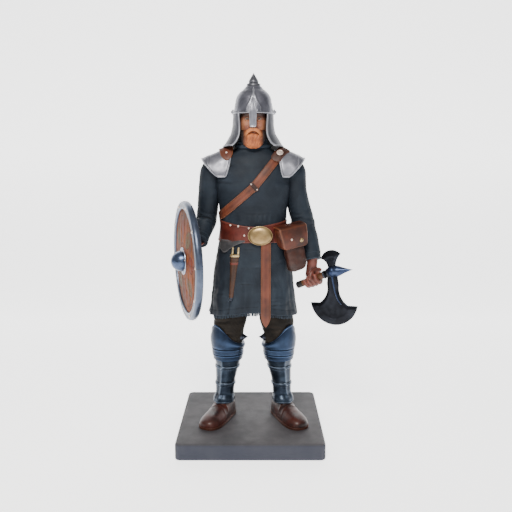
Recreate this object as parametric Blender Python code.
# Life-size painted figure of a northern warrior on a square plinth, with a round shield and a battle axe.
# Metres, +Z up, front towards -Y. The origin is the centre of the plinth's underside.
import math

import bmesh
import bpy
from mathutils import Matrix, Vector

# Plinth
BASE_SIDE = 0.788
BASE_HEIGHT = 0.088
BASE_CORNER_RADIUS = 0.030
BASE_EDGE_RADIUS = 0.012
BASE_FOOT_CHAMFER = 0.005
CONTACT_GAP = 0.0003

# Figure: sole to the tip of the helmet's spike. Its own proportions are given in thousandths of
# DRAWN_HEIGHT, so one drawn unit is one millimetre while FIGURE_HEIGHT is 1.917 m.
FIGURE_HEIGHT = 1.917
DRAWN_HEIGHT = 1917.0
UNIT = FIGURE_HEIGHT / DRAWN_HEIGHT
FIGURE_X = 0.015

# Round shield, whose frame is the centre of the rim's back face
SHIELD_RADIUS = 0.325
SHIELD_TURN = math.radians(17.0)
SHIELD_LEAN = math.radians(1.1)
RIM_WIDTH = 0.044
RIM_DEPTH = 0.038
BOARD_THICKNESS = 0.014
BOARD_DISH = 0.016
BOARD_RECESS = 0.010
BOSS_RADIUS = 0.056
BOSS_FLANGE = 0.018
BOSS_HEIGHT = 0.061
BOSS_WALL = 0.006
GRIP_RADIUS = 0.013
GRIP_SET_BACK = 0.012
GRIP_OVERLAP = 0.046
RIM_EDGE_ROUND = 0.012
RIM_RIVETS = 10
RIM_RIVET_RADIUS = 0.007
RIM_RIVET_START = math.radians(1.0)

# Battle axe, drawn in its own plane
AXE_YAW = math.radians(30.0)
HAFT_SLOPE = math.radians(24.5)
HAFT_RADIUS = 0.0190
HAFT_BACK = 0.100
HEAD_REACH = 0.129
SOCKET_RADIUS = 0.032
SPIKE_LENGTH = 0.118
SPIKE_TILT = math.radians(10.0)
# Spike from the middle of the socket: distance, radius
SPIKE_ROWS = ((0.0, 0.030), (0.026, 0.031), (0.048, 0.024), (0.080, 0.012), (SPIKE_LENGTH, 0.001))
# Collar on the haft behind the socket's middle: distance, radius
COLLAR_ROWS = ((-0.052, 0.019), (-0.046, 0.022), (-0.010, 0.026))
BLADE_TILT = math.radians(4.0)
BLADE_NECK_WIDTH = 0.070
BLADE_WAIST_DROP = 0.075
BLADE_STEP_SHARE = 0.60
BLADE_HORN_DROP = 0.185
BLADE_BACK_LIFT = 0.012
BLADE_CHORD = 0.275
BLADE_SAGITTA = 0.116
BLADE_THICKNESS = 0.022
BLADE_EDGE_SHARE = 0.22
# How far the thick middle's outline is drawn in from the blade's own outline
BLADE_RIDGE_SHARE = 0.38
FAN_NECK_WIDTH = 0.050
FAN_RISE = 0.083
FAN_CHORD = 0.122
FAN_TILT = math.radians(13.0)

# Hands
GRIP_CLEARANCE = 0.0004
BORE_REACH = 0.085
FINGER_RADIUS = 0.0124
FINGER_PITCH = 0.0232
FINGER_SIZES = (1.0, 1.04, 1.0, 0.9)
# Degrees round the rod, counted from the wrist: where the fingers start, where each ends, and the thumb
FINGER_START = 62
FINGER_ENDS = (318, 332, 322, 300)
THUMB_START = 410
THUMB_END = 268
THUMB_SIZE = 1.12
FINGER_TAPER = 0.16
FINGER_TIP_SHARE = 0.6

TUNIC_SIDES = 36
LIMB_SIDES = 14
KNEE_SIDES = 16
TURNED_SIDES = 20
COARSE_SIDES = 14
STRAP_STATIONS = 28
# Share of the joined figure's faces that are kept
THINNING = 0.57

# Tunic from hem to collar: height, half width, half depth, centre Y, roundness (2 is an ellipse)
TUNIC_ROWS = (
    (612, 245, 180, 0, 2.2),
    (697, 234, 173, 0, 2.2),
    (754, 227, 168, 0, 2.2),
    (811, 221, 163, 0, 2.2),
    (867, 215, 158, 0, 2.3),
    (924, 207, 152, 0, 2.3),
    (991, 195, 144, 0, 2.4),
    (1052, 182, 135, 0, 2.4),
    (1102, 176, 129, 0, 2.4),
    (1158, 182, 129, 2, 2.4),
    (1222, 190, 134, 4, 2.4),
    (1292, 202, 139, 6, 2.4),
    (1352, 206, 136, 8, 2.5),
    (1402, 203, 127, 10, 2.5),
    (1442, 192, 112, 12, 2.5),
    (1477, 168, 95, 12, 2.4),
    (1502, 130, 80, 10, 2.2),
    (1522, 88, 70, 8, 2.0),
    (1545, 70, 65, 5, 2.0),
)
HEM_FRONT = 646
HEM_SIDE = 607
HEM_INSET = 16
HEM_RECESS = 40
HEM_BAND = 30
FOLDS = 7
FOLD_DEPTH = 0.045
FOLD_TOP = 1000
FOLD_FRONT_SHARE = 0.30
FOLD_DRIFT = 0.9

# Leg from the boot to inside the tunic: height, centre X, centre Y, half width, half depth
LEG_ROWS = (
    (40, 161, 8, 46, 54),
    (112, 164, 10, 56, 62),
    (140, 164, 10, 52, 55),
    (190, 161, 10, 54, 56),
    (194, 161, 10, 57, 59),
    (206, 160, 10, 57, 59),
    (210, 160, 10, 54, 57),
    (290, 150, 7, 64, 67),
    (294, 149, 7, 68, 70),
    (306, 147, 6, 69, 71),
    (310, 147, 6, 66, 70),
    (350, 145, 2, 75, 75),
    (430, 145, -4, 81, 79),
    (510, 139, -5, 84, 83),
    (565, 131, -3, 91, 90),
    (620, 122, 0, 95, 95),
    (700, 106, 3, 96, 98),
)
KNEE_BOTTOM = 343
KNEE_LEAST_TOP = 440
KNEE_PEAK = 112
KNEE_PEAK_TURN = 50.0
KNEE_PEAK_SPREAD = 60.0
KNEE_WING = 0.15
# Spike on the inside of the knee: height, radius, and where it stands out of the guard
KNEE_SPIKE_ROWS = ((0, 18), (15, 12), (44, 1))
KNEE_SPIKE_AT = (73, -20, 473)
# Knee guard up its height: share of the height, how far it stands off the leg
KNEE_PROFILE = (
    (0.00, -14), (0.00, 7), (0.20, 10), (0.24, 5), (0.28, 12),
    (0.45, 7), (0.50, 14), (0.74, 17), (1.00, 9), (1.00, -14),
)

# Boot along the foot from heel to toe: distance from the ankle, half width, height
BOOT_ROWS = (
    (-80, 16, 34),
    (-72, 32, 78),
    (-45, 43, 104),
    (0, 49, 118),
    (45, 54, 106),
    (95, 60, 84),
    (145, 63, 71),
    (190, 60, 61),
    (220, 47, 50),
    (240, 27, 36),
)
ANKLE_X = 163
ANKLE_Y = 8
FOOT_TURNS = {-1: math.radians(24.5), 1: math.radians(26.0)}
SOLE_HEIGHT = 12
SOLE_CUT = 1.5
SOLE_EDGE = 3
# Section of the boot: the lower its powers, the squarer its sides and its top
BOOT_SIDE_POWER = 0.75
BOOT_TOP_POWER = 0.8

# Sleeves from shoulder to cuff: X outwards, Y, height, radius
SHIELD_SLEEVE = (
    (-188, 8, 1462, 52),
    (-224, 6, 1432, 62),
    (-236, 10, 1340, 60),
    (-247, 26, 1245, 58),
    (-257, 54, 1160, 58),
    (-266, 36, 1112, 55),
    (-281, -18, 1056, 47),
    (-292, -62, 1020, 42),
)
AXE_SLEEVE = (
    (188, 8, 1462, 52),
    (224, 6, 1432, 62),
    (230, 8, 1340, 59),
    (246, 15, 1235, 60),
    (268, 22, 1145, 63),
    (295, 12, 1055, 57),
    (320, -10, 965, 50),
    (328, -25, 913, 46),
)
SLEEVE_STRETCH = 1.08
AXE_FIST = Vector((326, -50, 807))
AXE_WRIST = Vector((328, -24, 936))
SHIELD_WRIST = Vector((-293, -68, 1012))
SHIELD_CENTRE = Vector((-337, -100, 920))

# Helmet from the tip of the spike down to the brow: height, radius
HELMET_ROWS = (
    (1917, 1), (1899, 13), (1878, 25), (1860, 28), (1854, 38), (1844, 38),
    (1830, 56), (1814, 75), (1790, 91), (1762, 98), (1742, 102), (1716, 107),
    (1704, 112), (1700, 109),
)
HELMET_DEPTH = 1.13
HELMET_X = 2
HELMET_Y = 4
SIDE_BOSS_RADIUS = 13
SIDE_BOSS_DEPTH = 11
SIDE_BOSS_REACH = 113
SIDE_BOSS_HEIGHT = 1712

# Nose guard: height, how far it stands ahead of the helmet's middle before HELMET_DEPTH stretches that,
# half width, half depth
NASAL_ROWS = (
    (1627, 113.5, 11, 5), (1632, 114.5, 17, 6), (1664, 115, 18, 6),
    (1704, 114.5, 20, 7), (1742, 108, 14, 8), (1784, 92, 5, 6),
)
NASAL_X = -1

# Neck and cheek guard: height, half width, half depth, centre Y, half angle of the face opening
GUARD_ROWS = (
    (1714, 110, 124, 4, 44),
    (1680, 112, 126, 4, 41),
    (1634, 114, 127, 5, 38),
    (1598, 123, 133, 6, 36),
    (1576, 137, 142, 8, 36),
    (1552, 153, 154, 10, 39),
    (1532, 168, 165, 12, 46),
)
GUARD_WALL = 8

# Head: height, half width, front Y, back Y
HEAD_ROWS = (
    (1440, 60, -54, 66), (1530, 60, -60, 72), (1545, 56, -90, 80), (1575, 63, -100, 86),
    (1605, 68, -101, 90), (1635, 71, -101, 94), (1662, 73, -97, 96), (1690, 75, -104, 98),
    (1715, 76, -102, 97), (1760, 62, -78, 80),
)
BEARD_ROWS = (
    (1517, 14, -98, -66), (1524, 32, -108, -50), (1542, 52, -115, -20),
    (1570, 66, -117, 0), (1596, 72, -112, 20), (1612, 66, -96, 20),
)
# Half of the moustache: X outwards, Y, height, radius
MOUSTACHE = ((3, -112, 1612, 6), (24, -115, 1603, 8), (42, -106, 1586, 7), (50, -100, 1562, 3))
# Nose: centre Y, height, half width, half depth
NOSE_ROWS = ((-104, 1624, 13, 9), (-106, 1632, 14, 13), (-102, 1660, 9, 9), (-98, 1688, 7, 6))

# Shoulder leaves. Inner edge and tip differ a little between the shield side, -1, and the axe side, 1
PAULDRON_REACH = 283
PAULDRON_INNER = {-1: 118, 1: 131}
PAULDRON_TIP = {-1: 155, 1: 168}
PAULDRON_TIP_WIDTH = 4
PAULDRON_INNER_POWER = 0.35
PAULDRON_OUTER_POWER = 0.55
PAULDRON_SWING = 0.98
PAULDRON_LOW = 1361
PAULDRON_FRONT = 111
PAULDRON_TOP_INNER = 1528
PAULDRON_TOP_OUTER = 1466
PAULDRON_TOP_POWER = 1.4
PAULDRON_MIDDLE = (205, 0, 1400)
PAULDRON_WALL = 24

BELT_BOTTOM = 1020
BELT_TOP_FRONT = 1106
BELT_TOP_SIDE = 1134
BELT_THICKNESS = 7
BELT_SINK = 12
BUCKLE = Vector((37, -152, 1060))
BUCKLE_HALF = (68, 24, 56)

STRAP_MEETING = Vector((5, 0, 1317))
STRAP_WIDTH = 45
STRAP_THICKNESS = 6
STRAP_SINK = 12
STRAP_SLOPE_LOW = 0.87
STRAP_SLOPE_HIGH = 1.24
STRAP_LOWEST = 1080.0
STRAP_HIGHEST = 1530.0

TONGUE_X = 64
TONGUE_HALF = 28
TONGUE_TOP = 1020
TONGUE_TIP = 568
TONGUE_TAPER = 60
# Section of the hanging belt end: share of its half width, how far it stands off the cloth
TONGUE_SECTION = ((-1, -6), (-1, 8), (-0.8, 11), (0.8, 11), (1, 8), (1, -6))

# Pouch and the bag below it, in the pouch's own frame: centre, half width, half depth
POUCH = Vector((200, -112, 1055))
POUCH_YAW = math.radians(30.0)
POUCH_TILT = math.radians(-9.0)
UPPER_POUCH = (
    ((8, 6, -62), 70, 26), ((6, 2, -54), 78, 38), ((0, 0, 20), 88, 42),
    ((-2, 6, 50), 88, 34), ((-2, 12, 58), 84, 24),
)
LOWER_POUCH = (
    ((18, 4, -196), 30, 10), ((18, 2, -188), 46, 20), ((16, 0, -160), 58, 30),
    ((14, 0, -110), 60, 32), ((10, 2, -50), 60, 30),
)

# Knife sheath: share of the way from tip to top and half width; then its section
SHEATH_TOP = Vector((-98, 0, 950))
SHEATH_TIP = Vector((-120, 0, 712))
SHEATH_ROWS = ((0.0, 6), (0.04, 10), (0.5, 15), (0.93, 21), (0.97, 24), (1.0, 22))
SHEATH_SECTION = ((-1, -8), (-1, 4), (-0.55, 15), (0.55, 15), (1, 4), (1, -8))


def linear(channel):
    """One sRGB channel as the linear value that a shader takes."""
    return channel / 12.92 if channel <= 0.04045 else ((channel + 0.055) / 1.055) ** 2.4


def material(name, hex_colour, roughness, metallic=0.0):
    made = bpy.data.materials.new(name)
    made.use_nodes = True
    shader = made.node_tree.nodes["Principled BSDF"]
    rgb = [linear(int(hex_colour[i : i + 2], 16) / 255) for i in (0, 2, 4)]
    shader.inputs["Base Color"].default_value = (*rgb, 1.0)
    shader.inputs["Roughness"].default_value = roughness
    shader.inputs["Metallic"].default_value = metallic
    return made


def mesh_from(name, rings, closed_round=False, scale=1.0, strip_caps=False):
    """A closed mesh from equal rings of points: capped at both ends, or joined end to end.

    A strip cap suits a thin ring, whose second half runs back beside its first.
    """
    work = bmesh.new()
    rows = [[work.verts.new(Vector(point) * scale) for point in ring] for ring in rings]
    count = len(rows[0])
    pairs = list(zip(rows, rows[1:]))
    if closed_round:
        pairs.append((rows[-1], rows[0]))
    for low, high in pairs:
        for i in range(count):
            j = (i + 1) % count
            work.faces.new((low[i], low[j], high[j], high[i]))
    if strip_caps:
        for row in (rows[0], rows[-1]):
            for i in range(count // 2 - 1):
                work.faces.new((row[i], row[i + 1], row[count - 2 - i], row[count - 1 - i]))
    elif not closed_round:
        for row in (rows[0], rows[-1]):
            middle = sum((vert.co for vert in row), Vector()) / count
            hub = work.verts.new(middle)
            for i in range(count):
                work.faces.new((row[i], row[(i + 1) % count], hub))
    bmesh.ops.recalc_face_normals(work, faces=work.faces)
    if work.calc_volume(signed=True) < 0:
        bmesh.ops.reverse_faces(work, faces=work.faces)
    mesh = bpy.data.meshes.new(name)
    work.to_mesh(mesh)
    work.free()
    return mesh


def add_object(name, mesh, finish=None, collection=None):
    made = bpy.data.objects.new(name, mesh)
    (collection or bpy.context.scene.collection).objects.link(made)
    if finish:
        mesh.materials.append(finish)
        mesh.shade_smooth()
        mesh.set_sharp_from_angle(angle=math.radians(35))
    return made


def add_helper(name, mesh, collection):
    """A form that a Boolean reads and that isn't a piece itself."""
    made = add_object(name, mesh, collection=collection)
    made.hide_render = True
    made.display_type = "WIRE"
    return made


def add_boolean(target, operation, operand, solver="EXACT"):
    modifier = target.modifiers.new(operation.lower(), "BOOLEAN")
    modifier.operation = operation
    modifier.solver = solver
    if isinstance(operand, bpy.types.Collection):
        modifier.operand_type = "COLLECTION"
        modifier.collection = operand
    else:
        modifier.object = operand


def smooth_row(rows, at):
    """The row of a table at a place between its rows, on a smooth curve through them."""
    rows = rows if rows[0][0] < rows[-1][0] else rows[::-1]
    at = min(max(at, rows[0][0]), rows[-1][0])
    k = next(i for i in range(1, len(rows)) if at <= rows[i][0])
    left, right = rows[k - 1], rows[k]
    before, after = rows[max(k - 2, 0)], rows[min(k + 1, len(rows) - 1)]
    span = right[0] - left[0]
    t = (at - left[0]) / span
    found = []
    for i in range(1, len(left)):
        slope_in = (right[i] - before[i]) / (right[0] - before[0]) * span
        slope_out = (after[i] - left[i]) / (after[0] - left[0]) * span
        a = 2 * left[i] - 2 * right[i] + slope_in + slope_out
        b = 3 * right[i] - 3 * left[i] - 2 * slope_in - slope_out
        found.append(((a * t + b) * t + slope_in) * t + left[i])
    return found


def oval(turn, half_x, half_y, power=2.0):
    """The reach of a rounded oval in the direction turned by this angle from the front."""
    across, ahead = abs(math.sin(turn)) / half_x, abs(math.cos(turn)) / half_y
    return (across**power + ahead**power) ** (-1.0 / power)


def heading(turn):
    """The level direction turned by this angle from the front, +X being a quarter turn."""
    return Vector((math.sin(turn), -math.cos(turn), 0))


def turns(count):
    return [2 * math.pi * i / count for i in range(count)]


def fold(turn, height):
    """How much the skirt's folds push its surface out or in: deep at the hem, shallow in front."""
    depth = max(0.0, (FOLD_TOP - height) / (FOLD_TOP - HEM_SIDE))
    side = FOLD_FRONT_SHARE + (1 - FOLD_FRONT_SHARE) * math.sin(turn / 2) ** 2
    return 1 + FOLD_DEPTH * depth * side * math.cos(FOLDS * turn + FOLD_DRIFT * math.sin(2 * turn))


def tunic_point(turn, height, off=0.0):
    half_x, half_y, centre_y, power = smooth_row(TUNIC_ROWS, height)
    reach = oval(turn, half_x, half_y, power) * fold(turn, height) + off
    return Vector((0, centre_y, height)) + heading(turn) * reach


def tunic_normal(turn, height):
    step = 0.02
    along = tunic_point(turn + step, height) - tunic_point(turn - step, height)
    up = tunic_point(turn, height + 6) - tunic_point(turn, height - 6)
    return along.cross(up).normalized()


def tunic_turn(x, height):
    """The turn at which the tunic's front is this far to the side."""
    low, high = -math.pi / 2, math.pi / 2
    for _ in range(24):
        middle = (low + high) / 2
        low, high = (middle, high) if tunic_point(middle, height).x < x else (low, middle)
    return (low + high) / 2


def hem_height(turn):
    ahead = max(0.0, math.cos(turn))
    return HEM_SIDE + (HEM_FRONT - HEM_SIDE) * ahead**2


def tunic_rings(sides):
    around = turns(sides)
    inner = [tunic_point(a, hem_height(a) + HEM_RECESS, -HEM_INSET * 2) for a in around]
    lip = [tunic_point(a, hem_height(a), -HEM_INSET) for a in around]
    rings = [inner, lip]
    heights = [row[0] for row in TUNIC_ROWS[1:]]
    rings.append([tunic_point(a, hem_height(a)) for a in around])
    rings.append([tunic_point(a, hem_height(a) + HEM_BAND) for a in around])
    rings += [[tunic_point(a, height) for a in around] for height in heights]
    return rings


def tube_rings(stations, sides, stretch=1.0):
    """Rings round a path whose stations hold X, Y, Z and a radius."""
    points = [Vector(station[:3]) for station in stations]
    rings = []
    across = Vector((0, 1, 0))
    for i, point in enumerate(points):
        ahead = (points[min(i + 1, len(points) - 1)] - points[max(i - 1, 0)]).normalized()
        across = (across - ahead * across.dot(ahead)).normalized()
        side = ahead.cross(across)
        radius = stations[i][3]
        rings.append(
            [
                point + across * (math.cos(a) * radius * stretch) + side * (math.sin(a) * radius)
                for a in turns(sides)
            ]
        )
    return rings


def turned_rings(rows, sides, depth=1.0, centre=(0, 0)):
    return [
        [Vector((centre[0] + math.sin(a) * r, centre[1] - math.cos(a) * r * depth, z)) for a in turns(sides)]
        for z, r in rows
    ]


def leg_ring(side, height, sides, off=0.0):
    """Section of the leg. Turns run from the front outwards, so both legs mirror each other."""
    centre_x, centre_y, half_x, half_y = smooth_row(LEG_ROWS, height)
    ring = []
    for turn in turns(sides):
        reach = oval(turn, half_x, half_y) + off
        point = heading(turn) * reach + Vector((centre_x, centre_y, height))
        ring.append(Vector((point.x * side, point.y, point.z)))
    return ring


def knee_top(turn):
    degrees = math.degrees(turn)
    degrees = degrees - 360 if degrees > 180 + KNEE_PEAK_TURN else degrees
    return KNEE_LEAST_TOP + KNEE_PEAK * math.exp(-(((degrees - KNEE_PEAK_TURN) / KNEE_PEAK_SPREAD) ** 2))


def knee_rings(side, sides):
    rings = []
    for share, off in KNEE_PROFILE:
        ring = []
        for turn in turns(sides):
            height = KNEE_BOTTOM + share * (knee_top(turn) - KNEE_BOTTOM)
            centre_x, centre_y, half_x, half_y = smooth_row(LEG_ROWS, height)
            wing = 1 - KNEE_WING * max(0.0, math.sin(turn)) if off > 0 else 1
            point = heading(turn) * (oval(turn, half_x, half_y) + off * wing)
            point += Vector((centre_x, centre_y, height))
            ring.append(Vector((point.x * side, point.y, point.z)))
        rings.append(ring)
    return rings


def boot_rings(side, arc_points):
    turn = FOOT_TURNS[side]
    ahead = Vector((math.sin(turn) * side, -math.cos(turn), 0))
    across = Vector((math.cos(turn) * side, math.sin(turn), 0))
    ankle = Vector((ANKLE_X * side, ANKLE_Y, 0))
    rings = []
    for along, half, height in BOOT_ROWS:
        ring = []
        for i in range(arc_points):
            a = math.pi * i / (arc_points - 1)
            flat = math.copysign(abs(math.cos(a)) ** BOOT_SIDE_POWER, math.cos(a))
            rise = SOLE_HEIGHT + 2 + (height - SOLE_HEIGHT - 2) * math.sin(a) ** BOOT_TOP_POWER
            ring.append(ankle + ahead * along + across * (half * flat) + Vector((0, 0, rise)))
        for edge, rise in ((-half - SOLE_EDGE, SOLE_HEIGHT), (-half - SOLE_EDGE, -SOLE_CUT)):
            ring.append(ankle + ahead * along + across * edge + Vector((0, 0, rise)))
        for edge, rise in ((half + SOLE_EDGE, -SOLE_CUT), (half + SOLE_EDGE, SOLE_HEIGHT)):
            ring.append(ankle + ahead * along + across * edge + Vector((0, 0, rise)))
        rings.append(ring)
    return rings


def front_back_rings(rows, sides, power=2.2):
    rings = []
    for height, half_x, front, back in rows:
        centre_y, half_y = (front + back) / 2, (back - front) / 2
        rings.append(
            [
                Vector((0, centre_y, height)) + heading(a) * oval(a, half_x, half_y, power)
                for a in turns(sides)
            ]
        )
    return rings


def guard_rings(arc_points):
    """Each ring is a horseshoe open towards the face: its outer wall, then its inner one."""
    rings = []
    for height, half_x, half_y, centre_y, opening in GUARD_ROWS:
        start = math.radians(opening)
        spread = [start + (2 * math.pi - 2 * start) * i / (arc_points - 1) for i in range(arc_points)]
        centre = Vector((0, centre_y, height))
        outer = [centre + heading(a) * oval(a, half_x, half_y) for a in spread]
        inner = [centre + heading(a) * (oval(a, half_x, half_y) - GUARD_WALL) for a in reversed(spread)]
        rings.append(outer + inner)
    return rings


def slab_rings(columns, inward):
    """A bent plate: each column of surface points gets the same points sunk inward behind it."""
    rings = []
    for column in columns:
        sunk = [point + inward(point) for point in column]
        rings.append(list(column) + sunk[::-1])
    return rings


def pauldron_rings(side, around, across):
    """A leaf over the shoulder, from its low front tip over the top to its low back tip."""
    edge, tip = PAULDRON_INNER[side], PAULDRON_TIP[side]
    columns = []
    for i in range(around):
        swing = math.pi * (i / (around - 1) - 0.5) * PAULDRON_SWING
        rise = math.cos(swing)
        inner = edge + (tip - edge) * (1 - rise**PAULDRON_INNER_POWER)
        outer = tip + PAULDRON_TIP_WIDTH
        outer += (PAULDRON_REACH - outer) * rise**PAULDRON_OUTER_POWER
        column = []
        for j in range(across):
            x = inner + (outer - inner) * j / (across - 1)
            share = max(0.0, (x - edge) / (PAULDRON_REACH - edge)) ** PAULDRON_TOP_POWER
            top = PAULDRON_TOP_INNER + (PAULDRON_TOP_OUTER - PAULDRON_TOP_INNER) * share
            lift = (top - PAULDRON_LOW) * rise
            column.append(Vector((x * side, PAULDRON_FRONT * math.sin(swing), PAULDRON_LOW + lift)))
        columns.append(column)
    middle = Vector((PAULDRON_MIDDLE[0] * side, *PAULDRON_MIDDLE[1:]))
    return slab_rings(columns, lambda point: (middle - point).normalized() * PAULDRON_WALL)


def strap_height(turn):
    """Where the shoulder strap crosses the tunic at this turn: its line is steeper above the meeting."""
    low, high = STRAP_LOWEST, STRAP_HIGHEST
    for _ in range(30):
        middle = (low + high) / 2
        x = tunic_point(turn, middle).x - STRAP_MEETING.x
        line = STRAP_MEETING.z + x * (STRAP_SLOPE_HIGH if x > 0 else STRAP_SLOPE_LOW)
        low, high = (middle, high) if middle < line else (low, middle)
    return (low + high) / 2


def band_ring(centre, ahead, normal, half_width, thickness, sink):
    side = normal.cross(ahead).normalized()
    return [
        centre + side * half_width - normal * sink,
        centre + side * half_width + normal * thickness,
        centre - side * half_width + normal * thickness,
        centre - side * half_width - normal * sink,
    ]


def strap_rings(count):
    around = turns(count)
    path = [tunic_point(a, strap_height(a)) for a in around]
    rings = []
    for i, turn in enumerate(around):
        ahead = (path[(i + 1) % count] - path[i - 1]).normalized()
        normal = tunic_normal(turn, strap_height(turn))
        rings.append(band_ring(path[i], ahead, normal, STRAP_WIDTH / 2, STRAP_THICKNESS, STRAP_SINK))
    return rings


def belt_rings(count):
    rings = []
    for turn in turns(count):
        side = math.sin(turn) ** 2
        top = BELT_TOP_FRONT + (BELT_TOP_SIDE - BELT_TOP_FRONT) * side
        edges = (
            (BELT_BOTTOM, -BELT_SINK), (BELT_BOTTOM, BELT_THICKNESS),
            (top, BELT_THICKNESS), (top, -BELT_SINK),
        )
        rings.append([tunic_point(turn, height, off) for height, off in edges])
    return rings


def tongue_rings(rows):
    rings = []
    for i in range(rows):
        height = TONGUE_TIP + (TONGUE_TOP - TONGUE_TIP) * i / (rows - 1)
        taper = min(1.0, (height - TONGUE_TIP) / TONGUE_TAPER)
        half = max(2.0, TONGUE_HALF * math.sin(taper * math.pi / 2) ** 0.8)
        surface_height = max(height, HEM_FRONT)
        ring = []
        for x, off in TONGUE_SECTION:
            at = tunic_point(tunic_turn(TONGUE_X + x * half, surface_height), surface_height)
            ring.append(Vector((at.x, at.y - off, height)))
        rings.append(ring)
    return rings


def ellipsoid_rings(centre, half, rows, sides):
    rings = []
    for i in range(1, rows):
        lean = math.pi * i / rows
        radius, height = math.sin(lean), -math.cos(lean)
        ring = []
        for a in turns(sides):
            away = (math.sin(a) * radius * half[0], -math.cos(a) * radius * half[1], height * half[2])
            ring.append(centre + Vector(away))
        rings.append(ring)
    return rings


def box_rings(sections, corner=0.28):
    """Sections hold a centre, a half width, a half depth: boxes with cut corners, stacked upwards."""
    rings = []
    for centre, half_x, half_y in sections:
        cut = corner * min(half_x, half_y)
        ring = []
        for sx, sy in ((1, 1), (-1, 1), (-1, -1), (1, -1)):
            pair = [
                Vector((sx * half_x, sy * (half_y - cut), 0)),
                Vector((sx * (half_x - cut), sy * half_y, 0)),
            ]
            ring += pair if sx * sy > 0 else pair[::-1]
        rings.append([Vector(centre) + point for point in ring])
    return rings


def placed(rings, matrix):
    return [[matrix @ point for point in ring] for ring in rings]


def pouch_frame():
    turn = Matrix.Rotation(POUCH_YAW, 4, "Z") @ Matrix.Rotation(POUCH_TILT, 4, "Y")
    return Matrix.Translation(POUCH) @ turn


def sheath_rings():
    rings = []
    for share, half in SHEATH_ROWS:
        at = SHEATH_TIP.lerp(SHEATH_TOP, share)
        surface = tunic_point(tunic_turn(at.x, at.z), at.z)
        rings.append([Vector((at.x + x * half, surface.y - y, at.z)) for x, y in SHEATH_SECTION])
    return rings


def grip_frame(origin, axis, palm_hint):
    """Axes of a fist: along the rod to the index finger, towards the wrist, and where the palm faces."""
    along = axis.normalized()
    wrist = Vector((0, 0, 1))
    wrist = (wrist - along * wrist.dot(along)).normalized()
    palm = along.cross(wrist)
    palm = palm if palm.dot(palm_hint) > 0 else -palm
    return Matrix(
        (
            (along.x, wrist.x, palm.x, origin.x),
            (along.y, wrist.y, palm.y, origin.y),
            (along.z, wrist.z, palm.z, origin.z),
            (0, 0, 0, 1),
        )
    )


def finger_rings(frame, offset, rod_radius, start, end, radius, steps, sides, drift=0.0):
    """A finger bent round the rod, between two angles counted from the wrist over the palm's far side."""
    bend = rod_radius + radius
    stations = []
    for i in range(steps):
        share = i / (steps - 1)
        a = start + (end - start) * share
        thin = radius * (1 - FINGER_TAPER * share)
        thin = thin * FINGER_TIP_SHARE if i in (0, steps - 1) else thin
        local = Vector((offset + drift * share, math.cos(a) * bend, -math.sin(a) * bend))
        stations.append((*(frame @ local), thin))
    return tube_rings(stations, sides)


def hand_rings(frame, rod_radius, wrist_at, sides=12):
    """Wrist and back of the hand, down to the knuckles behind the rod."""
    behind = -(rod_radius + FINGER_RADIUS / UNIT)
    inverse = frame.inverted()
    wrist = inverse @ wrist_at
    sections = (
        (wrist, 36, 29),
        (wrist.lerp(Vector((0, 40, behind * 0.55)), 0.45), 36, 26),
        (Vector((0, 40, behind * 0.60)), 39, 19),
        (Vector((0, 22, behind * 0.85)), 42, 17),
        (Vector((-1, 2, behind)), 40, 13),
        (Vector((-1, -9, behind)), 34, 9),
    )
    rings = []
    for centre, half_x, half_z in sections:
        rings.append(
            [
                frame @ (centre + Vector((math.sin(a) * half_x, 0, math.cos(a) * half_z)))
                for a in turns(sides)
            ]
        )
    return rings


def build_fist(name, frame, rod_radius_m, wrist_at, forms):
    """A closed hand round a rod, with a bore that clears it."""
    rod = (rod_radius_m + GRIP_CLEARANCE * 0.25) / UNIT
    radius, pitch = FINGER_RADIUS / UNIT, FINGER_PITCH / UNIT
    add_form(name + "_hand", hand_rings(frame, rod, wrist_at), forms)
    for i, (size, end) in enumerate(zip(FINGER_SIZES, FINGER_ENDS)):
        offset = pitch * (1.5 - i)
        ends = math.radians(FINGER_START), math.radians(end)
        rings = finger_rings(frame, offset, rod, *ends, radius * size, 7, 6)
        add_form(f"{name}_finger_{i + 1}", rings, forms)
    ends = math.radians(THUMB_START), math.radians(THUMB_END)
    over = rod + radius * 0.9
    thumb = finger_rings(frame, pitch * 2.1, over, *ends, radius * THUMB_SIZE, 6, 6, -pitch * 1.9)
    add_form(name + "_thumb", thumb, forms)


def add_form(name, rings, forms, closed_round=False, strip_caps=False):
    return add_helper(name, mesh_from(name, rings, closed_round, UNIT, strip_caps), forms)


def shield_axes():
    """The shield's outward normal and the level direction in its plane that points to the front."""
    level = Vector((-math.cos(SHIELD_TURN), -math.sin(SHIELD_TURN), 0))
    outward = level * math.cos(SHIELD_LEAN) - Vector((0, 0, math.sin(SHIELD_LEAN)))
    ahead = Vector((math.sin(SHIELD_TURN), -math.cos(SHIELD_TURN), 0))
    return outward, ahead


def haft_direction():
    level = Vector((math.cos(AXE_YAW), -math.sin(AXE_YAW), 0))
    return level * math.cos(HAFT_SLOPE) + Vector((0, 0, math.sin(HAFT_SLOPE)))


def figure_place():
    return Vector((FIGURE_X, 0, BASE_HEIGHT + CONTACT_GAP))


def rod_cutter(name, centre, axis, radius, half_length, forms):
    """A round bar that bores through a fist, a little wider than what passes there."""
    side = axis.orthogonal().normalized()
    other = axis.cross(side)
    rings = []
    for end in (-half_length, half_length):
        middle = centre + axis * end
        ways = [side * math.cos(a) + other * math.sin(a) for a in turns(TURNED_SIDES)]
        rings.append([middle + way * radius for way in ways])
    return add_helper(name, mesh_from(name, rings), forms)


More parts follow.
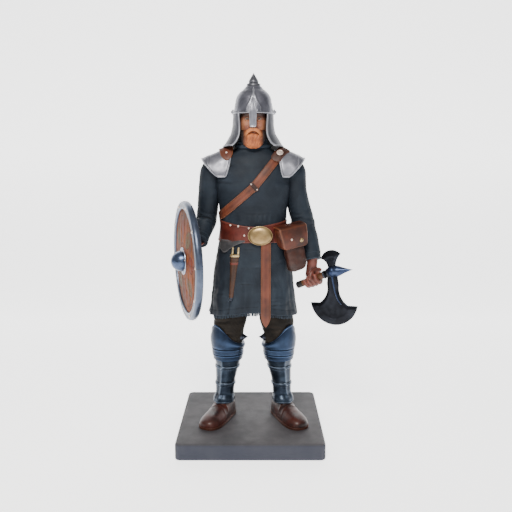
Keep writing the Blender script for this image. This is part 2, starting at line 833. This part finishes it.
def build_warrior(finish):
    forms = bpy.data.collections.new("figure_forms")
    bores = bpy.data.collections.new("fist_bores")
    for collection in (forms, bores):
        bpy.context.scene.collection.children.link(collection)
    warrior = add_object("warrior", mesh_from("warrior", tunic_rings(TUNIC_SIDES), scale=UNIT), finish)

    for side, word in ((-1, "shield_side"), (1, "axe_side")):
        heights = [row[0] for row in LEG_ROWS]
        add_form("leg_" + word, [leg_ring(side, height, LIMB_SIDES) for height in heights], forms)
        add_form("knee_guard_" + word, knee_rings(side, KNEE_SIDES), forms)
        add_form("boot_" + word, boot_rings(side, 7), forms)
        add_form("pauldron_" + word, pauldron_rings(side, 9, 4), forms, strip_caps=True)
        knee_spike = turned_rings(KNEE_SPIKE_ROWS, 6)
        turn = Matrix.Rotation(-math.pi / 2 * side, 4, "Y")
        place = Matrix.Translation(Vector((KNEE_SPIKE_AT[0] * side, *KNEE_SPIKE_AT[1:]))) @ turn
        add_form("knee_spike_" + word, placed(knee_spike, place), forms)
        boss_at = Vector((HELMET_X + SIDE_BOSS_REACH * side, HELMET_Y, SIDE_BOSS_HEIGHT))
        boss = ellipsoid_rings(boss_at, (SIDE_BOSS_DEPTH, SIDE_BOSS_RADIUS, SIDE_BOSS_RADIUS), 5, 8)
        add_form("helmet_boss_" + word, boss, forms)
        whiskers = tube_rings([(x * side, y, z, r) for x, y, z, r in MOUSTACHE], 6)
        add_form("moustache_" + word, whiskers, forms)

    add_form("sleeve_shield_side", tube_rings(SHIELD_SLEEVE, LIMB_SIDES, SLEEVE_STRETCH), forms)
    add_form("sleeve_axe_side", tube_rings(AXE_SLEEVE, LIMB_SIDES, SLEEVE_STRETCH), forms)
    add_form("head", front_back_rings(HEAD_ROWS, COARSE_SIDES), forms)
    add_form("beard", front_back_rings(BEARD_ROWS, COARSE_SIDES), forms)
    nose = box_rings([((0, y, z), half_x, half_y) for y, z, half_x, half_y in NOSE_ROWS])
    add_form("nose", nose, forms)
    add_form("helmet", turned_rings(HELMET_ROWS, TURNED_SIDES, HELMET_DEPTH, (HELMET_X, HELMET_Y)), forms)
    add_form("neck_guard", guard_rings(15), forms, strip_caps=True)
    nasal = []
    for z, reach, half_x, half_y in NASAL_ROWS:
        nasal.append(((NASAL_X, HELMET_Y - reach * HELMET_DEPTH, z), half_x, half_y))
    add_form("nasal_guard", box_rings(nasal), forms)
    add_form("belt", belt_rings(TUNIC_SIDES), forms, closed_round=True)
    add_form("shoulder_strap", strap_rings(STRAP_STATIONS), forms, closed_round=True)
    add_form("belt_tongue", tongue_rings(9), forms)
    add_form("belt_buckle", ellipsoid_rings(BUCKLE, BUCKLE_HALF, 7, COARSE_SIDES), forms)
    add_form("pouch_flap", placed(box_rings(UPPER_POUCH), pouch_frame()), forms)
    add_form("pouch_below", placed(box_rings(LOWER_POUCH, corner=0.5), pouch_frame()), forms)
    add_form("knife_sheath", sheath_rings(), forms)

    axe_frame = grip_frame(AXE_FIST, haft_direction(), Vector((0, -1, 0)))
    build_fist("axe_fist", axe_frame, HAFT_RADIUS, AXE_WRIST, forms)
    outward, ahead = shield_axes()
    grip_centre = SHIELD_CENTRE - outward * (GRIP_SET_BACK / UNIT)
    shield_frame = grip_frame(grip_centre, ahead, -outward)
    build_fist("shield_fist", shield_frame, GRIP_RADIUS, SHIELD_WRIST, forms)

    haft_bore = HAFT_RADIUS + GRIP_CLEARANCE
    rod_cutter("haft_bore", AXE_FIST * UNIT, haft_direction(), haft_bore, BORE_REACH, bores)
    rod_cutter("grip_bore", grip_centre * UNIT, ahead, GRIP_RADIUS + GRIP_CLEARANCE, BORE_REACH, bores)
    sole_cut = [[Vector((x, y, z)) for x, y in ((-1, -1), (1, -1), (1, 1), (-1, 1))] for z in (-0.2, 0.0)]
    add_helper("sole_cut", mesh_from("sole_cut", sole_cut), bores)
    add_boolean(warrior, "UNION", forms, "MANIFOLD")
    thinning = warrior.modifiers.new("thinning", "DECIMATE")
    thinning.ratio = THINNING
    add_boolean(warrior, "DIFFERENCE", bores, "MANIFOLD")
    for piece in (warrior, *forms.objects, *bores.objects):
        piece.location = figure_place()


def rounded_square(side, corner, steps=4):
    half = side / 2
    ring = []
    for quarter in range(4):
        middle = Vector((half - corner, half - corner, 0))
        spin = Matrix.Rotation(quarter * math.pi / 2, 3, "Z")
        for i in range(steps + 1):
            a = math.pi / 2 * i / steps
            ring.append(spin @ (middle + Vector((math.cos(a), math.sin(a), 0)) * corner))
    return ring


def build_base(finish):
    levels = [(0.0, BASE_FOOT_CHAMFER), (BASE_FOOT_CHAMFER, 0.0)]
    for i in range(4):
        a = math.pi / 2 * i / 3
        rise = BASE_HEIGHT - BASE_EDGE_RADIUS + math.sin(a) * BASE_EDGE_RADIUS
        levels.append((rise, BASE_EDGE_RADIUS * (1 - math.cos(a))))
    rings = []
    for height, inset in levels:
        ring = rounded_square(BASE_SIDE - 2 * inset, BASE_CORNER_RADIUS - inset)
        rings.append([point + Vector((0, 0, height)) for point in ring])
    add_object("base", mesh_from("base", rings), finish)


def shield_profile():
    """Closed half section of the shield: radius and distance out from the rim's back face."""
    hole = BOSS_RADIUS - BOSS_WALL
    rim_inner = SHIELD_RADIUS - RIM_WIDTH
    edge_face = RIM_DEPTH - BOARD_RECESS

    def face(radius):
        return edge_face + BOARD_DISH * (1 - (radius / rim_inner) ** 2)

    section = [(hole, face(hole) - BOARD_THICKNESS)]
    section += [(r, face(r) - BOARD_THICKNESS) for r in (0.5 * rim_inner, rim_inner)]
    edge = SHIELD_RADIUS - RIM_EDGE_ROUND
    section += [(rim_inner, 0.004), (rim_inner + 0.004, 0.0), (edge, 0.0)]
    for i in range(5):
        a = -math.pi / 2 + math.pi * i / 4
        rise = RIM_DEPTH / 2 + math.sin(a) * (RIM_DEPTH / 2 - 0.003)
        section.append((edge + math.cos(a) * RIM_EDGE_ROUND, rise))
    section += [(edge - 0.006, RIM_DEPTH), (rim_inner + 0.006, RIM_DEPTH), (rim_inner, RIM_DEPTH - 0.004)]
    section += [(r, face(r)) for r in (rim_inner, 0.62 * rim_inner)]
    flange = BOSS_RADIUS + BOSS_FLANGE
    crown = face(BOSS_RADIUS) + 0.005
    section += [(flange, face(flange)), (flange, face(flange) + 0.004), (BOSS_RADIUS, crown)]
    for i in range(1, 6):
        a = math.pi / 2 * i / 5
        section.append((max(BOSS_RADIUS * math.cos(a), 0.0), crown + BOSS_HEIGHT * math.sin(a)))
    for i in range(5, -1, -1):
        a = math.pi / 2 * i / 5
        section.append((max(hole * math.cos(a), 0.0), crown + (BOSS_HEIGHT - BOSS_WALL) * math.sin(a)))
    return section


def build_shield(finish):
    outward, ahead = shield_axes()
    place = Matrix.Identity(4)
    across = outward.cross(ahead)
    for row in range(3):
        place[row][0], place[row][1], place[row][2] = ahead[row], across[row], outward[row]
        place[row][3] = (SHIELD_CENTRE * UNIT + figure_place())[row]

    work = bmesh.new()
    sides = 32
    columns = []
    section = shield_profile()
    outer_tip = work.verts.new((0, 0, max(point[1] for point in section)))
    inner_tip = work.verts.new((0, 0, outer_tip.co.z - BOSS_WALL))
    for a in turns(sides):
        column = []
        for radius, out in section:
            if radius < 1e-6:
                column.append(outer_tip if outer_tip not in column else inner_tip)
            else:
                column.append(work.verts.new((math.cos(a) * radius, math.sin(a) * radius, out)))
        columns.append(column)
    for i in range(sides):
        here, there = columns[i], columns[(i + 1) % sides]
        for k in range(len(section)):
            nxt = (k + 1) % len(section)
            corners = []
            for vert in (here[k], there[k], there[nxt], here[nxt]):
                if vert not in corners:
                    corners.append(vert)
            if len(corners) >= 3:
                work.faces.new(corners)
    bmesh.ops.recalc_face_normals(work, faces=work.faces)
    if work.calc_volume(signed=True) < 0:
        bmesh.ops.reverse_faces(work, faces=work.faces)
    mesh = bpy.data.meshes.new("round_shield")
    work.to_mesh(mesh)
    work.free()
    shield = add_object("round_shield", mesh, finish)

    fittings = bpy.data.collections.new("shield_forms")
    bpy.context.scene.collection.children.link(fittings)
    rim_inner = SHIELD_RADIUS - RIM_WIDTH
    hole = BOSS_RADIUS - BOSS_WALL
    half = hole + GRIP_OVERLAP
    board_back = RIM_DEPTH - BOARD_RECESS + BOARD_DISH - BOARD_THICKNESS
    bar = []
    section_ways = [Vector((0, math.cos(a), math.sin(a))) for a in turns(COARSE_SIDES)]
    for end in (-half, half):
        middle = Vector((end, 0, -GRIP_SET_BACK))
        bar.append([middle + way * GRIP_RADIUS for way in section_ways])
    add_helper("grip_bar", mesh_from("grip_bar", bar), fittings)
    for sign, word in ((-1, "back"), (1, "front")):
        foot = box_rings(
            (
                ((sign * (hole + GRIP_OVERLAP * 0.6), 0, -GRIP_SET_BACK - GRIP_RADIUS * 0.5), 0.012, 0.017),
                ((sign * (hole + GRIP_OVERLAP * 0.6), 0, board_back + 0.004), 0.015, 0.024),
            )
        )
        add_helper("grip_foot_" + word, mesh_from("grip_foot_" + word, foot), fittings)
    for i in range(RIM_RIVETS):
        a = 2 * math.pi * i / RIM_RIVETS + RIM_RIVET_START
        centre = Vector((math.cos(a), math.sin(a), 0)) * (rim_inner + RIM_WIDTH * 0.42)
        centre.z = RIM_DEPTH - 0.001
        rings = ellipsoid_rings(centre, (RIM_RIVET_RADIUS,) * 3, 4, 6)
        add_helper(f"rim_rivet_{i + 1}", mesh_from(f"rim_rivet_{i + 1}", rings), fittings)
    add_boolean(shield, "UNION", fittings)
    for piece in (shield, *fittings.objects):
        piece.matrix_world = place


def arc_between(start, end, bulge, steps):
    """Points of a circular arc from start to end that rises by bulge on the left of the way."""
    half = (end - start).length / 2
    ahead = (end - start) / (2 * half)
    left = Vector((-ahead.y, ahead.x)) * math.copysign(1, bulge)
    lean = 2 * math.atan2(abs(bulge), half)
    radius = half / math.sin(lean)
    middle = (start + end) / 2
    points = []
    for i in range(steps + 1):
        a = lean * (2 * i / steps - 1)
        rise = radius * (math.cos(a) - math.cos(lean))
        points.append(middle + ahead * (radius * math.sin(a)) + left * rise)
    return points


def blade_outline():
    """The main blade below the socket, in its own plane: X along the chord, Y up. It runs clockwise."""
    neck = BLADE_NECK_WIDTH / 2
    horn = Vector((BLADE_CHORD / 2, -BLADE_HORN_DROP))
    shoulder = Vector((neck * 0.8, 0.0))
    waist = Vector((neck, -BLADE_WAIST_DROP))
    step = Vector((BLADE_CHORD / 2 * BLADE_STEP_SHARE, -BLADE_HORN_DROP * 0.995))
    right = [shoulder] + arc_between(waist, step, -0.018, 5) + [horn]
    lifted = 1 - BLADE_BACK_LIFT / BLADE_HORN_DROP
    left = [Vector((-p.x, p.y * lifted)) for p in reversed(right)]
    edge = arc_between(horn, left[0], BLADE_SAGITTA, 14)[1:-1]
    return right + edge + left


def fan_outline():
    """The small rear blade above the socket."""
    neck = FAN_NECK_WIDTH / 2
    spread = FAN_CHORD / 2
    tilt = Matrix.Rotation(FAN_TILT, 2)
    rise = Vector((-0.006, FAN_RISE))
    right_tip = rise + tilt @ Vector((spread, 0.0))
    left_tip = rise + tilt @ Vector((-spread, 0.0))
    top = arc_between(left_tip, right_tip, 0.034, 7)
    right = arc_between(right_tip, Vector((neck * 0.85, FAN_RISE * 0.35)), -0.008, 3)[1:]
    left = arc_between(Vector((-neck, FAN_RISE * 0.30)), left_tip, -0.010, 3)[:-1]
    return top + right + [Vector((neck * 0.9, 0.0)), Vector((-neck * 0.9, 0.0))] + left


def blade_mesh(name, outline):
    """A plate thick in the middle and thin along its outline: a ridge line joins the two faces."""
    work = bmesh.new()
    middle = sum(outline, Vector((0, 0))) / len(outline)
    rims = []
    for side in (1, -1):
        edge = side * BLADE_THICKNESS * BLADE_EDGE_SHARE / 2
        rims.append([work.verts.new((p.x, edge, p.y)) for p in outline])
    inner = []
    for side in (1, -1):
        ring = []
        for p in outline:
            q = p.lerp(Vector((p.x * 0.25, middle.y * 0.25 + p.y * 0.75)), BLADE_RIDGE_SHARE)
            ring.append(work.verts.new((q.x, side * BLADE_THICKNESS / 2, q.y)))
        inner.append(ring)
    count = len(outline)
    for i in range(count):
        j = (i + 1) % count
        work.faces.new((rims[0][i], rims[0][j], rims[1][j], rims[1][i]))
        work.faces.new((rims[0][i], inner[0][i], inner[0][j], rims[0][j]))
        work.faces.new((rims[1][j], inner[1][j], inner[1][i], rims[1][i]))
    for ring in (inner[0], inner[1][::-1]):
        work.faces.new(ring)
    bmesh.ops.recalc_face_normals(work, faces=work.faces)
    if work.calc_volume(signed=True) < 0:
        bmesh.ops.reverse_faces(work, faces=work.faces)
    mesh = bpy.data.meshes.new(name)
    work.to_mesh(mesh)
    work.free()
    return mesh


def bar_rings(origin, way, rows):
    """A round bar in the axe's plane: rows hold a distance along its way and a radius."""
    side = Vector((0, 1, 0))
    up = way.cross(side)
    rings = []
    for along, radius in rows:
        middle = origin + way * along
        rings.append([middle + (side * math.cos(a) + up * math.sin(a)) * radius for a in turns(COARSE_SIDES)])
    return rings


def build_axe(finish):
    """The axe's plane holds X along the ground towards its head and Z up; its origin is in the fist."""
    place = Matrix.Translation(AXE_FIST * UNIT + figure_place()) @ Matrix.Rotation(-AXE_YAW, 4, "Z")
    haft_line = Vector((math.cos(HAFT_SLOPE), 0, math.sin(HAFT_SLOPE)))
    socket = haft_line * HEAD_REACH
    butt = -HAFT_BACK
    haft = ((butt, HAFT_RADIUS * 0.9), (butt + 0.004, HAFT_RADIUS), (HEAD_REACH, HAFT_RADIUS))
    axe = add_object("battle_axe", mesh_from("battle_axe", bar_rings(Vector(), haft_line, haft)), finish)

    head = bpy.data.collections.new("axe_forms")
    bpy.context.scene.collection.children.link(head)
    ball = ellipsoid_rings(socket, (SOCKET_RADIUS,) * 3, 8, COARSE_SIDES)
    add_helper("socket_ball", mesh_from("socket_ball", ball), head)
    collar = bar_rings(socket, haft_line, COLLAR_ROWS)
    add_helper("socket_collar", mesh_from("socket_collar", collar), head)
    spike_line = Vector((math.cos(SPIKE_TILT), 0, math.sin(SPIKE_TILT)))
    spike = bar_rings(socket, spike_line, SPIKE_ROWS)
    add_helper("head_spike", mesh_from("head_spike", spike), head)
    for name, outline in (("main_blade", blade_outline()), ("rear_blade", fan_outline())):
        made = add_helper(name, blade_mesh(name, outline), head)
        made.data.transform(Matrix.Translation(socket) @ Matrix.Rotation(-BLADE_TILT, 4, "Y"))
    add_boolean(axe, "UNION", head)
    for piece in (axe, *head.objects):
        piece.matrix_world = place


def main():
    for old in list(bpy.data.objects):
        bpy.data.objects.remove(old, do_unlink=True)
    build_base(material("plinth_paint", "636267", 0.55))
    build_warrior(material("figure_paint", "3e4851", 0.60))
    build_shield(material("shield_paint", "906143", 0.45))
    build_axe(material("axe_paint", "23262e", 0.40, 0.6))


main()
